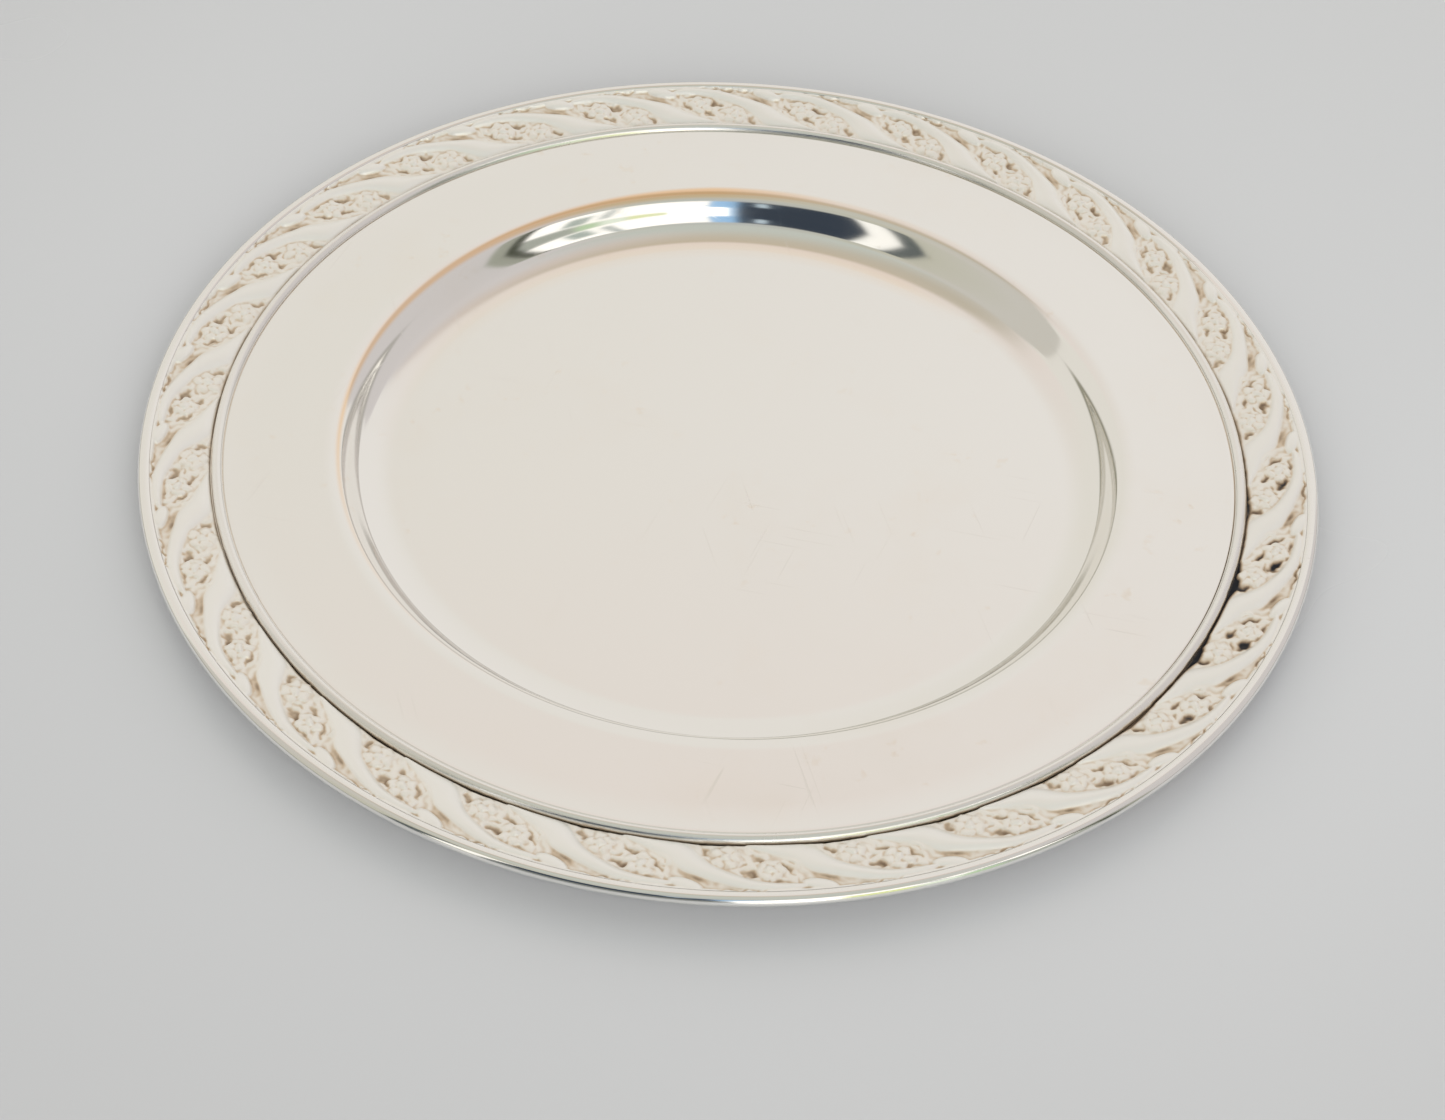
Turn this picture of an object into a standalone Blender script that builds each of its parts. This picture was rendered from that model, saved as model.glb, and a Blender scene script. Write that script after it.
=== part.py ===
"""Round silver-plated offering plate with an applied ribbon-and-blossom border.

A spun sheet body carries everything: a flat floor, a curved wall, a broad flat
rim and, outside it, a stepped seat.  The seat holds a thin bead wire, six cast
border sections butted end to end and, around the edge, a rolled edge wire.

Metres, +Z up.  The origin is the centre of the underside of the base.
"""
import math

import bmesh
import bpy

# ---------------------------------------------------------------- dimensions
OUTER_RADIUS = 0.1270
OVERALL_HEIGHT = 0.0100
SHEET = 0.0010
GAP = 0.0003

# well, from the rim inward: roll-off, tight shoulder, wall, tight corner, slow toe
SHOULDER_RADIUS_AT_RIM = 0.0881
ROLL_OFF_BEND = 0.0150
ROLL_OFF_SLOPE = math.radians(9.5)
SHOULDER_BEND = 0.0030
WALL_SLOPE = math.radians(50.5)
WALL_LENGTH = 0.00486
CORNER_BEND = 0.0029
TOE_SLOPE = math.radians(19.0)
TOE_BEND = 0.0195

# flat rim and the seat for the border
RIM_OUTER_RADIUS = 0.1092
RIM_RISE = 0.0001
SEAT_DROP = 0.0008
SEAT_STEP = 0.0002
SEAT_FLAT_TO = 0.1121
SEAT_RISE = 0.0012
BODY_RADIUS = 0.1242

# bead wire beside the border
BEAD_INNER_RADIUS = 0.1095
BEAD_OUTER_RADIUS = 0.1117
BEAD_HEIGHT = 0.0016
BEAD_FOOT = 0.0002

# border sections
SECTION_COUNT = 6
REPEATS_PER_SECTION = 5
BORDER_INNER_RADIUS = 0.1121
BORDER_OUTER_RADIUS = 0.1241
RIBBON_PHASE = math.radians(5.2)
BORDER_BASE = 0.0004

# ornament, with lengths along the border measured from the ribbon's middle
RIBBON_RELIEF = 0.0008
RIBBON_FROM = -0.0095
RIBBON_TO = 0.0200
RIBBON_BEND_AT = -0.0005
RIBBON_BEND_LENGTH = 0.0065
RIBBON_SWING = 0.0056
RIBBON_MIDDLE_RADIUS = 0.1184
RIBBON_HALF_WIDTH = 0.0030
RIBBON_TIP_HALF_WIDTH = 0.0010
BLOSSOM_RELIEF = 0.0006
LARGE_BLOSSOM = (0.0058, 0.1155, 0.0034)    # along, radius from the axis, reach
SMALL_BLOSSOM = (0.0138, 0.1193, 0.0029)

# edge wire
EDGE_WIRE_WIDTH = 0.0025
EDGE_WIRE_HEIGHT = 0.0024
EDGE_WIRE_CHAMFER = 0.0003

# facets
BODY_SEGMENTS = 96
BEND_STEPS = 5
WELL_STEPS = (5, 4, 4, 2)      # toe, corner, shoulder, roll-off
WIRE_STEPS = 6
STEPS_PER_REPEAT = 10
RADIAL_STEPS = 5

# derived levels
FLOOR_TOP = SHEET
WELL_DEPTH = (ROLL_OFF_BEND * (1.0 - math.cos(ROLL_OFF_SLOPE))
              + SHOULDER_BEND * (math.cos(ROLL_OFF_SLOPE) - math.cos(WALL_SLOPE))
              + WALL_LENGTH * math.sin(WALL_SLOPE)
              + CORNER_BEND * (math.cos(TOE_SLOPE) - math.cos(WALL_SLOPE))
              + TOE_BEND * (1.0 - math.cos(TOE_SLOPE)))
WELL_WIDTH = (ROLL_OFF_BEND * math.sin(ROLL_OFF_SLOPE)
              + SHOULDER_BEND * (math.sin(WALL_SLOPE) - math.sin(ROLL_OFF_SLOPE))
              + WALL_LENGTH * math.cos(WALL_SLOPE)
              + CORNER_BEND * (math.sin(WALL_SLOPE) - math.sin(TOE_SLOPE))
              + TOE_BEND * math.sin(TOE_SLOPE))
RIM_LEVEL = FLOOR_TOP + WELL_DEPTH
SEAT_LEVEL = RIM_LEVEL + RIM_RISE - SEAT_DROP
REPEAT_ANGLE = 2.0 * math.pi / (SECTION_COUNT * REPEATS_PER_SECTION)


# ------------------------------------------------------------------- helpers
def clear_objects():
    for item in list(bpy.data.objects):
        bpy.data.objects.remove(item, do_unlink=True)


def metal(name, colour, roughness):
    material = bpy.data.materials.new(name)
    material.use_nodes = True
    shader = material.node_tree.nodes["Principled BSDF"]
    shader.inputs["Base Color"].default_value = (*colour, 1.0)
    shader.inputs["Metallic"].default_value = 1.0
    shader.inputs["Roughness"].default_value = roughness
    material.diffuse_color = (*colour, 1.0)
    return material


def arc(centre, radius, start, end, steps):
    """Points on a circular arc in the (radius, height) plane, both ends included."""
    points = []
    for step in range(steps + 1):
        angle = start + (end - start) * step / steps
        points.append((centre[0] + radius * math.cos(angle),
                       centre[1] + radius * math.sin(angle)))
    return points


def finish(bm, name, material):
    """Close off a bmesh as a named, smooth-shaded object."""
    bmesh.ops.recalc_face_normals(bm, faces=bm.faces)
    mesh = bpy.data.meshes.new(name)
    bm.to_mesh(mesh)
    bm.free()
    mesh.shade_smooth()
    mesh.set_sharp_from_angle(angle=math.radians(35.0))
    mesh.materials.append(material)
    item = bpy.data.objects.new(name, mesh)
    bpy.context.scene.collection.objects.link(item)
    return item


def turned(name, outline, closed, material):
    """Spin an outline of (radius, height) points once around the Z axis."""
    bm = bmesh.new()
    ring = [bm.verts.new((radius, 0.0, height)) for radius, height in outline]
    edges = [bm.edges.new(pair) for pair in zip(ring, ring[1:])]
    if closed:
        edges.append(bm.edges.new((ring[-1], ring[0])))
    bmesh.ops.spin(bm, geom=ring + edges, cent=(0, 0, 0), axis=(0, 0, 1),
                   angle=2.0 * math.pi, steps=BODY_SEGMENTS, use_merge=True)
    bmesh.ops.remove_doubles(bm, verts=bm.verts, dist=1e-7)
    return finish(bm, name, material)


# ------------------------------------------------------------------ the body
def well_profile(offset):
    """Well surface from the floor's edge to the rim, moved down by offset along its normal."""
    toe_centre = (SHOULDER_RADIUS_AT_RIM - WELL_WIDTH, FLOOR_TOP + TOE_BEND)
    corner_centre = (toe_centre[0] + (TOE_BEND - CORNER_BEND) * math.sin(TOE_SLOPE),
                     toe_centre[1] - (TOE_BEND - CORNER_BEND) * math.cos(TOE_SLOPE))
    roll_centre = (SHOULDER_RADIUS_AT_RIM, RIM_LEVEL - ROLL_OFF_BEND)
    inward = ROLL_OFF_BEND - SHOULDER_BEND
    shoulder_centre = (roll_centre[0] - inward * math.sin(ROLL_OFF_SLOPE),
                       roll_centre[1] + inward * math.cos(ROLL_OFF_SLOPE))
    down = -math.pi / 2.0
    up = math.pi / 2.0
    bends = (
        (toe_centre, TOE_BEND + offset, down, down + TOE_SLOPE),
        (corner_centre, CORNER_BEND + offset, down + TOE_SLOPE, down + WALL_SLOPE),
        (shoulder_centre, SHOULDER_BEND - offset, up + WALL_SLOPE, up + ROLL_OFF_SLOPE),
        (roll_centre, ROLL_OFF_BEND - offset, up + ROLL_OFF_SLOPE, up),
    )
    points = []
    for (centre, radius, start, end), steps in zip(bends, WELL_STEPS):
        made = arc(centre, radius, start, end, steps)
        joined = points and math.dist(points[-1], made[0]) < 1e-6
        points += made[1:] if joined else made
    return points


def seat_height(radius):
    """Top of the body's sheet under the border."""
    share = (radius - SEAT_FLAT_TO) / (BODY_RADIUS - SEAT_FLAT_TO)
    return SEAT_LEVEL + SEAT_RISE * max(0.0, share)


def plate_body(material):
    """Spun sheet from the floor's centre out to the end of the seat."""
    rim_edge = RIM_LEVEL + RIM_RISE
    top = [(0.0, FLOOR_TOP)]
    top += well_profile(0.0)
    top += [
        (RIM_OUTER_RADIUS, rim_edge),
        (RIM_OUTER_RADIUS + SEAT_STEP, SEAT_LEVEL),
        (SEAT_FLAT_TO, SEAT_LEVEL),
        (BODY_RADIUS, seat_height(BODY_RADIUS)),
    ]
    bottom = [
        (BODY_RADIUS, seat_height(BODY_RADIUS) - SHEET),
        (SEAT_FLAT_TO, SEAT_LEVEL - SHEET),
        (RIM_OUTER_RADIUS - SHEET / 2.0, SEAT_LEVEL - SHEET),
        (RIM_OUTER_RADIUS - SHEET / 2.0 - SEAT_STEP, rim_edge - SHEET),
    ]
    bottom += list(reversed(well_profile(SHEET)))
    bottom += [(0.0, FLOOR_TOP - SHEET)]
    return turned("plate_body", top + bottom, False, material)


# ----------------------------------------------------------- the two wires
def inner_bead(material):
    """Half-round wire lying in the seat beside the border."""
    middle = (BEAD_INNER_RADIUS + BEAD_OUTER_RADIUS) / 2.0
    half_width = (BEAD_OUTER_RADIUS - BEAD_INNER_RADIUS) / 2.0
    base = SEAT_LEVEL + GAP
    outline = []
    for step in range(BEND_STEPS + 1):
        angle = math.pi * step / BEND_STEPS
        crown = (BEAD_HEIGHT - BEAD_FOOT) * math.sin(angle)
        outline.append((middle + half_width * math.cos(angle), base + BEAD_FOOT + crown))
    outline += [(BEAD_INNER_RADIUS, base), (BEAD_OUTER_RADIUS, base)]
    return turned("inner_bead", outline, True, material)


def edge_wire(material):
    """Rolled edge: a band with a soft crown and a half-round outer side."""
    top = OVERALL_HEIGHT
    inner = OUTER_RADIUS - EDGE_WIRE_WIDTH
    half = EDGE_WIRE_HEIGHT / 2.0
    nose = (OUTER_RADIUS - half, top - half)
    outline = [
        (inner, top - EDGE_WIRE_HEIGHT + EDGE_WIRE_CHAMFER),
        (inner, top - EDGE_WIRE_CHAMFER),
        (inner + EDGE_WIRE_CHAMFER, top),
    ]
    outline += arc(nose, half, math.pi / 2.0, -math.pi / 2.0, WIRE_STEPS)
    outline += [(inner + EDGE_WIRE_CHAMFER, top - EDGE_WIRE_HEIGHT)]
    return turned("edge_wire", outline, True, material)


# ------------------------------------------------------------- the border
def ribbon_crest(along):
    """Radius of a ribbon's crest at a distance along the border from its middle."""
    swing = math.tanh((along - RIBBON_BEND_AT) / RIBBON_BEND_LENGTH)
    return RIBBON_MIDDLE_RADIUS + RIBBON_SWING * swing


def bump(distance, reach):
    """Smooth hill: one at the middle, nothing from reach outward."""
    share = min(1.0, abs(distance) / reach)
    return (1.0 - share * share) ** 2


def border_relief(angle, radius):
    """Height of the ornament above the border's own base sheet."""
    pitch = REPEAT_ANGLE * (BORDER_INNER_RADIUS + BORDER_OUTER_RADIUS) / 2.0
    unit = (angle - RIBBON_PHASE) / REPEAT_ANGLE
    height = 0.0
    for repeat in range(math.floor(unit) - 1, math.floor(unit) + 2):
        along = (unit - repeat) * pitch
        if RIBBON_FROM < along < RIBBON_TO:
            taper = max(0.0, along) / RIBBON_TO
            slimmer = taper * (RIBBON_HALF_WIDTH - RIBBON_TIP_HALF_WIDTH)
            ribbon = bump(radius - ribbon_crest(along), RIBBON_HALF_WIDTH - slimmer)
            height = max(height, RIBBON_RELIEF * ribbon)
        for bloom_along, bloom_radius, reach in (LARGE_BLOSSOM, SMALL_BLOSSOM):
            distance = math.hypot(along - bloom_along, radius - bloom_radius)
            height = max(height, BLOSSOM_RELIEF * bump(distance, reach))
    return height


def border_section(index, material):
    """One cast strip of five repeats, lofted from radial cross-sections."""
    span = REPEAT_ANGLE * REPEATS_PER_SECTION
    clear = GAP / BORDER_INNER_RADIUS
    start = RIBBON_PHASE + index * span - span / 2.0
    steps = STEPS_PER_REPEAT * REPEATS_PER_SECTION
    width = BORDER_OUTER_RADIUS - BORDER_INNER_RADIUS
    bm = bmesh.new()
    sections = []
    for step in range(steps + 1):
        angle = start + clear / 2.0 + (span - clear) * step / steps
        loop = []
        for radius in (BORDER_OUTER_RADIUS, BORDER_INNER_RADIUS):
            loop.append((radius, seat_height(radius) + GAP))
        for row in range(RADIAL_STEPS + 1):
            share = row / RADIAL_STEPS
            radius = BORDER_INNER_RADIUS + share * width
            thickness = BORDER_BASE + border_relief(angle, radius)
            loop.append((radius, seat_height(radius) + GAP + thickness))
        sections.append([bm.verts.new((r * math.cos(angle), r * math.sin(angle), z))
                         for r, z in loop])
    for near, far in zip(sections, sections[1:]):
        for corner in range(len(near)):
            after = (corner + 1) % len(near)
            bm.faces.new((near[corner], near[after], far[after], far[corner]))
    bm.faces.new(sections[0])
    bm.faces.new(sections[-1])
    return finish(bm, f"border_section_{index + 1}", material)


# --------------------------------------------------------------------- build
def main():
    """Make the plate's nine pieces."""
    clear_objects()
    body_silver = metal("satin_silver", (0.86, 0.83, 0.79), 0.22)
    wire_silver = metal("bright_silver", (0.90, 0.88, 0.85), 0.12)
    cast_silver = metal("cast_silver", (0.80, 0.76, 0.71), 0.32)
    plate_body(body_silver)
    inner_bead(wire_silver)
    edge_wire(wire_silver)
    for index in range(SECTION_COUNT):
        border_section(index, cast_silver)


main()
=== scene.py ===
import math

import bpy
import numpy as np
from mathutils import Matrix, Vector


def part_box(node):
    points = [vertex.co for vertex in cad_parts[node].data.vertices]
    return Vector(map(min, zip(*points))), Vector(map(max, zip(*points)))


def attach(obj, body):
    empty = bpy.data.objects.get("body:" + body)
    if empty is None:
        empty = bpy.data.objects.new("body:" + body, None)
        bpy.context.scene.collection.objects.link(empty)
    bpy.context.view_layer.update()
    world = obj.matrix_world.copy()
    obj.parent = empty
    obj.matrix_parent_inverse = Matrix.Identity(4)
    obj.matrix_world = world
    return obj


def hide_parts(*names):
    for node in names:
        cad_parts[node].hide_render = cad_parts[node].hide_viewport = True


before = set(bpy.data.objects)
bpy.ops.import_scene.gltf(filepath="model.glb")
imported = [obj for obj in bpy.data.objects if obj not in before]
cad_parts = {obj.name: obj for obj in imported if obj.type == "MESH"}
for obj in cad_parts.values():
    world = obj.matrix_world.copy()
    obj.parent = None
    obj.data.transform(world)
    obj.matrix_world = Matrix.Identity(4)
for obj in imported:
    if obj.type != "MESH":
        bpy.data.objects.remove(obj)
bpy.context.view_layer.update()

# ------------------------------------------------------------ sizes from the frame
MM = 0.001
OUTER_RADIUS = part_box("edge_wire")[1][0]
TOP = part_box("edge_wire")[1][2]
WIRE_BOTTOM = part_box("edge_wire")[0][2]
BODY_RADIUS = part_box("plate_body")[1][0]
SEAT_OUTER_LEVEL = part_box("plate_body")[1][2]
BEAD_OUTER_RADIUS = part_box("inner_bead")[1][0]
BEAD_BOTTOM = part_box("inner_bead")[0][2]
BEAD_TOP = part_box("inner_bead")[1][2]

# ------------------------------------------------------------------ the spun body
SHEET = 0.0010
SHOULDER_RADIUS_AT_RIM = 0.0881
WELL_BENDS = (        # from the rim inward: radius, and the slope in degrees at each end
    (0.0150, 0.0, 9.5),
    (0.0030, 9.5, 46.0),
    (0.01243, 46.0, 58.0),
    (0.01243, 58.0, 46.0),
    (0.0029, 46.0, 19.0),
    (0.0195, 19.0, 0.0),
)
RIM_OUTER_RADIUS = 0.1092
RIM_CORNER = 0.00025
RIM_RISE = 0.0001
SEAT_DROP = 0.0008
SEAT_FLAT_TO = 0.1121
WELL_DEPTH = sum(bend * abs(math.cos(math.radians(start)) - math.cos(math.radians(end)))
                 for bend, start, end in WELL_BENDS)
RIM_LEVEL = SHEET + WELL_DEPTH
SEAT_LEVEL = RIM_LEVEL + RIM_RISE - SEAT_DROP

# ------------------------------------------------------------------ the two wires
BEAD_INNER_RADIUS = 0.1093
SOLDER_LEVEL = RIM_LEVEL - 0.00014
EDGE_WIRE_WIDTH = 0.0025

# --------------------------------------------------------------------- the border
SECTION_COUNT = 6
REPEATS_PER_SECTION = 5
REPEATS = SECTION_COUNT * REPEATS_PER_SECTION
REPEAT_ANGLE = 2.0 * math.pi / REPEATS
RIBBON_PHASE = math.radians(5.2)
BORDER_INNER_RADIUS = 0.1119
BORDER_OUTER_RADIUS = 0.12448
PITCH_RADIUS = 0.1180
PITCH = REPEAT_ANGLE * PITCH_RADIUS / MM      # length of one repeat, in millimetres

# where the border's pits and crevices are painted darkest, in degrees round the plate from +X
DARKEST_AT = -22.0
PIT_REACH = 21.0
CREVICE_REACH = 18.0

# facets
TURNED_SEGMENTS = 540
ARC_STEP = math.radians(1.25)
GRID_STEP = 0.00015


def arc(centre, radius, start, end, step=ARC_STEP):
    """Points on a circular arc in the (radius, height) plane, both ends included."""
    count = max(2, round(abs(end - start) / step))
    points = []
    for index in range(count + 1):
        angle = start + (end - start) * index / count
        points.append((centre[0] + radius * math.cos(angle),
                       centre[1] + radius * math.sin(angle)))
    return points


def new_piece(name, vertices, faces, material, attributes=None):
    """A smooth-shaded mesh object with one material and optional point attributes."""
    mesh = bpy.data.meshes.new(name)
    mesh.from_pydata(vertices, [], faces)
    mesh.validate()
    for key, values in (attributes or {}).items():
        layer = mesh.attributes.new(key, "FLOAT", "POINT")
        layer.data.foreach_set("value", np.asarray(values, dtype=np.float32))
    mesh.shade_smooth()
    mesh.set_sharp_from_angle(angle=math.radians(50.0))
    mesh.materials.append(material)
    item = bpy.data.objects.new(name, mesh)
    bpy.context.scene.collection.objects.link(item)
    return item


def smooth_step(low, high, value):
    """0 at low, 1 at high and smooth between; low may be the greater of the two."""
    share = np.clip((value - low) / (high - low), 0.0, 1.0)
    return share * share * (3.0 - 2.0 * share)


def darkening(angles, reach):
    """1 where the border's pits and crevices are painted darkest, falling to 0 round the plate
    from there.
    """
    apart = (np.degrees(angles) - DARKEST_AT + 180.0) % 360.0 - 180.0
    return np.exp(-(apart / reach) ** 2)


def turned(name, outline, material, painted_shade=None, straw_and_reflection=None):
    """Spin a closed outline of (radius, height) points; a point on the axis is one vertex.

    The first function gives, from 0 to 1, how dark painted shade makes a point of the outline
    at an array of angles; the second, how much straw tarnish and a painted orange reflection
    tint it.
    """
    angles = np.arange(TURNED_SEGMENTS) * 2.0 * math.pi / TURNED_SEGMENTS
    vertices = []
    rings = []
    tarnish_and_shade = []
    yellow = []
    for radius, height in outline:
        if radius < 1e-9:
            rings.append([len(vertices)] * TURNED_SEGMENTS)
            vertices.append((0.0, 0.0, height))
            count = 1
        else:
            rings.append(range(len(vertices), len(vertices) + TURNED_SEGMENTS))
            vertices += [(radius * c, radius * s, height)
                         for c, s in zip(np.cos(angles), np.sin(angles))]
            count = TURNED_SEGMENTS
        for shade, layer in ((painted_shade, tarnish_and_shade), (straw_and_reflection, yellow)):
            values = shade(radius, height, angles) if shade else 0.0
            layer.extend(np.broadcast_to(values, TURNED_SEGMENTS)[:count].tolist())
    faces = []
    pairs = list(zip(rings, rings[1:]))
    if outline[0][0] > 1e-9:
        pairs.append((rings[-1], rings[0]))
    for near, far in pairs:
        for index in range(TURNED_SEGMENTS):
            after = (index + 1) % TURNED_SEGMENTS
            loop = (near[index], far[index], far[after], near[after])
            faces.append(tuple(dict.fromkeys(loop)))
    return new_piece(name, vertices, faces, material, {"tarnish_and_shade": tarnish_and_shade, "straw_and_reflection": yellow})


# ------------------------------------------------------------------ turned shapes
def well_profile(offset):
    """Well surface from the floor's edge to the rim, moved down by offset along its normal."""
    radius = SHOULDER_RADIUS_AT_RIM
    height = RIM_LEVEL
    points = [(radius, height - offset)]
    for bend, start, end in WELL_BENDS:
        count = max(3, round(abs(end - start) / (1.25 if bend > 0.01 else 2.5)))
        slopes = [math.radians(start + (end - start) * k / count) for k in range(count + 1)]
        for before, after in zip(slopes, slopes[1:]):
            radius -= bend * abs(math.sin(before) - math.sin(after))
            height -= bend * abs(math.cos(before) - math.cos(after))
            points.append((radius + offset * math.sin(after),
                           height - offset * math.cos(after)))
    return points[::-1]


def spun_body(material):
    """Spun sheet from the floor's centre out to the end of the border's seat."""
    rim_edge = RIM_LEVEL + RIM_RISE
    seat_bottom = SEAT_LEVEL - SHEET
    well = well_profile(0.0)
    under = well_profile(SHEET)
    floor_rings = (0.0, 0.010, 0.030, 0.050, 0.065, 0.070, well[0][0] - 0.0004)
    rim_rings = (SHOULDER_RADIUS_AT_RIM + 0.0004, 0.0895, 0.0950, 0.1020, 0.1080)
    corner_centre = (RIM_OUTER_RADIUS - RIM_CORNER, rim_edge - RIM_CORNER)
    top = [(radius, SHEET) for radius in floor_rings]
    top += well
    top += [(radius, RIM_LEVEL) for radius in rim_rings]
    top += arc(corner_centre, RIM_CORNER, math.pi / 2.0, 0.0, 10.0 * ARC_STEP)
    # a thread of solder between the rim and the bead, then the border's seat
    top += [
        (RIM_OUTER_RADIUS + 0.00003, SOLDER_LEVEL),
        (BEAD_INNER_RADIUS + 0.00010, SOLDER_LEVEL),
        (BEAD_INNER_RADIUS + 0.00030, SEAT_LEVEL),
        (SEAT_FLAT_TO, SEAT_LEVEL),
        (BODY_RADIUS - 0.0001, SEAT_OUTER_LEVEL - 0.00001),
        (BODY_RADIUS, SEAT_OUTER_LEVEL - 0.0001),
    ]
    step_radius = RIM_OUTER_RADIUS - SHEET / 2.0
    bottom = [
        (BODY_RADIUS, SEAT_OUTER_LEVEL - SHEET),
        (SEAT_FLAT_TO, seat_bottom),
        (step_radius + 0.0002, seat_bottom + 0.00002),
        (step_radius, seat_bottom + 0.0002),
        (step_radius - 0.0001, rim_edge - SHEET - 0.0002),
        (step_radius - 0.0003, rim_edge - SHEET),
    ]
    bottom += [(radius, RIM_LEVEL - SHEET) for radius in reversed(rim_rings[:-1])]
    bottom += list(reversed(under))
    bottom += [(radius, 0.0) for radius in reversed(floor_rings)]
    outline = top + bottom

    def painted_shade(radius, height, angles):
        # painted shade on the seat where it shows in the crevice between the bead and the
        # border; how dark varies round the plate
        in_seat = radius > RIM_OUTER_RADIUS - 0.0001 and height < RIM_LEVEL - 0.0001
        if not in_seat or height < seat_bottom + 0.0005:
            return 0.0
        return 0.22 + 0.66 * darkening(angles, CREVICE_REACH)

    def straw_and_reflection(radius, height, angles):
        """Painted orange reflection along the far side of the shoulder, and faint
        straw-coloured tarnish at the toe.
        """
        turn = np.degrees(angles)
        strength = np.interp(turn, (45.0, 75.0, 95.0, 180.0, 200.0, 220.0, 250.0),
                             (0.0, 0.25, 1.0, 1.0, 0.45, 0.2, 0.0))
        outer = np.interp(turn, (95.0, 120.0, 145.0, 180.0), (0.0881, 0.0870, 0.0863, 0.0858))
        on_shoulder = (smooth_step(outer, outer - 0.0013, radius)
                       * smooth_step(0.0840, 0.0850, radius))
        foot = well[0][0]
        at_toe = (smooth_step(foot - 0.0012, foot + 0.0004, radius)
                  * smooth_step(foot + 0.0040, foot + 0.0010, radius))
        far = np.interp(turn, (45.0, 60.0, 115.0, 175.0), (0.0, 0.35, 0.30, 0.0))
        # on the shoulder the tint is a painted reflection of an orange strip at the top of the
        # room's far wall; at the toe it is straw tarnish
        if height > RIM_LEVEL - 0.00097:
            return strength * on_shoulder
        if height > SHEET - 0.00001:
            return far * at_toe
        return np.zeros(TURNED_SEGMENTS)

    return turned("spun_body", outline, material, painted_shade, straw_and_reflection)


def bead_wire(material):
    """Smooth half-round wire between the rim and the border."""
    middle = (BEAD_INNER_RADIUS + BEAD_OUTER_RADIUS) / 2.0
    half_width = (BEAD_OUTER_RADIUS - BEAD_INNER_RADIUS) / 2.0
    foot = BEAD_BOTTOM + 0.0002
    outline = []
    for step in range(33):
        angle = math.pi * step / 32
        outline.append((middle + half_width * math.cos(angle),
                        foot + (BEAD_TOP - foot) * math.sin(angle) ** 0.85))
    outline += [(BEAD_INNER_RADIUS, BEAD_BOTTOM), (BEAD_OUTER_RADIUS, BEAD_BOTTOM)]

    def painted_shade(radius, height, angles):
        # painted shade low on the bead, where it meets the seat
        low = max(0.0, 1.0 - (height - BEAD_BOTTOM) / 0.0007)
        return low * (0.15 + 0.6 * darkening(angles, CREVICE_REACH))

    return turned("bead_wire", outline, material, painted_shade)


def rolled_edge(material):
    """Plain band outside the border that rolls over into a half-round nose."""
    half = (TOP - WIRE_BOTTOM) / 2.0
    inner = OUTER_RADIUS - EDGE_WIRE_WIDTH
    nose = (OUTER_RADIUS - half, TOP - half)
    outline = [
        (inner, WIRE_BOTTOM + 0.0003),
        (inner, TOP - 0.0012),
        (inner, TOP - 0.0006),
        (inner, TOP - 0.00032),
        (inner + 0.00005, TOP - 0.00023),
        (inner + 0.00018, TOP - 0.00015),
        (inner + 0.00050, TOP - 0.00006),
        (inner + 0.00095, TOP - 0.00002),
    ]
    outline += arc(nose, half, math.pi / 2.0, -math.pi / 2.0, 3.0 * ARC_STEP)
    outline += [(inner + 0.0003, WIRE_BOTTOM)]

    def painted_shade(radius, height, angles):
        # painted shade on the inner wall of the edge wire, beside the border
        return 0.15 if radius < inner + 0.00005 else 0.0

    return turned("rolled_edge", outline, material, painted_shade)


# ------------------------------------------------- the border's relief, millimetres
# Places are (along the border, out from its inner edge).  One repeat is 24.7 long.
RIBBON_ROUTE = (      # along, out, half the ribbon's width
    (-15.0, 0.2, 0.5),
    (-10.0, 1.3, 1.5),
    (-6.6, 2.1, 2.3),
    (-3.9, 3.1, 3.0),
    (-1.3, 5.2, 2.8),
    (1.8, 7.1, 2.1),
    (6.2, 9.1, 1.7),
    (10.4, 10.6, 1.5),
    (14.5, 11.2, 1.25),
    (18.0, 11.2, 0.95),
    (20.4, 10.9, 0.45),
)
BASE = 0.70
BAND_LEVEL = 1.25
RIBBON_CREST = 1.45
LARGE_BLOSSOM = dict(at=(5.4, 3.5), reach=3.15, height=0.75, petals=5, turn=0.4)
SMALL_BLOSSOM = dict(at=(13.9, 6.9), reach=3.0, height=0.80, petals=5, turn=1.1)
BUD = dict(at=(-1.9, 11.0), reach=(3.4, 1.45), tilt=18.0, height=0.75)
TROUGH = dict(at=(-0.8, 8.2), reach=(2.9, 0.95), tilt=33.0)
PITS = (              # at, reach along and across, tilt, depth
    ((10.4, 7.5), (2.7, 0.95), 20.0, 1.00),
    ((14.9, 9.5), (2.8, 0.35), 6.0, 0.60),
    ((1.3, 1.9), (1.9, 0.75), 62.0, 0.85),
    ((11.9, 3.9), (1.9, 0.65), 32.0, 0.80),
    ((17.3, 6.6), (2.1, 0.45), 55.0, 0.75),
    ((9.1, 5.3), (1.2, 0.35), -25.0, 0.50),
    ((8.2, 12.05), (5.6, 0.22), 2.0, 0.75),
)
HATCH = ((17.9, 6.2), (19.5, 6.6), (21.2, 7.2), (20.3, 8.4))
HATCH_TILT = 45.0
STROKE_TILT = 52.0
CELL_START = -6.0                # where a repeat's own ground begins
RIBBON_REACH = (-16.0, 27.0)     # as far as any part of a repeat goes


def smooth_curve(points, count):
    """Catmull-Rom curve through points, as rows of the same columns."""
    given = np.array(points, dtype=float)
    padded = np.vstack([2 * given[0] - given[1], given, 2 * given[-1] - given[-2]])
    place = np.linspace(0.0, len(given) - 1.0, count)
    start = np.minimum(place.astype(int), len(given) - 2)
    t = (place - start)[:, None]
    p0, p1, p2, p3 = (padded[start + k] for k in range(4))
    return 0.5 * (2 * p1 + (p2 - p0) * t + (2 * p0 - 5 * p1 + 4 * p2 - p3) * t ** 2
                  + (3 * p1 - p0 - 3 * p2 + p3) * t ** 3)


RIBBON_LINE = smooth_curve(RIBBON_ROUTE, 90)


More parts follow.
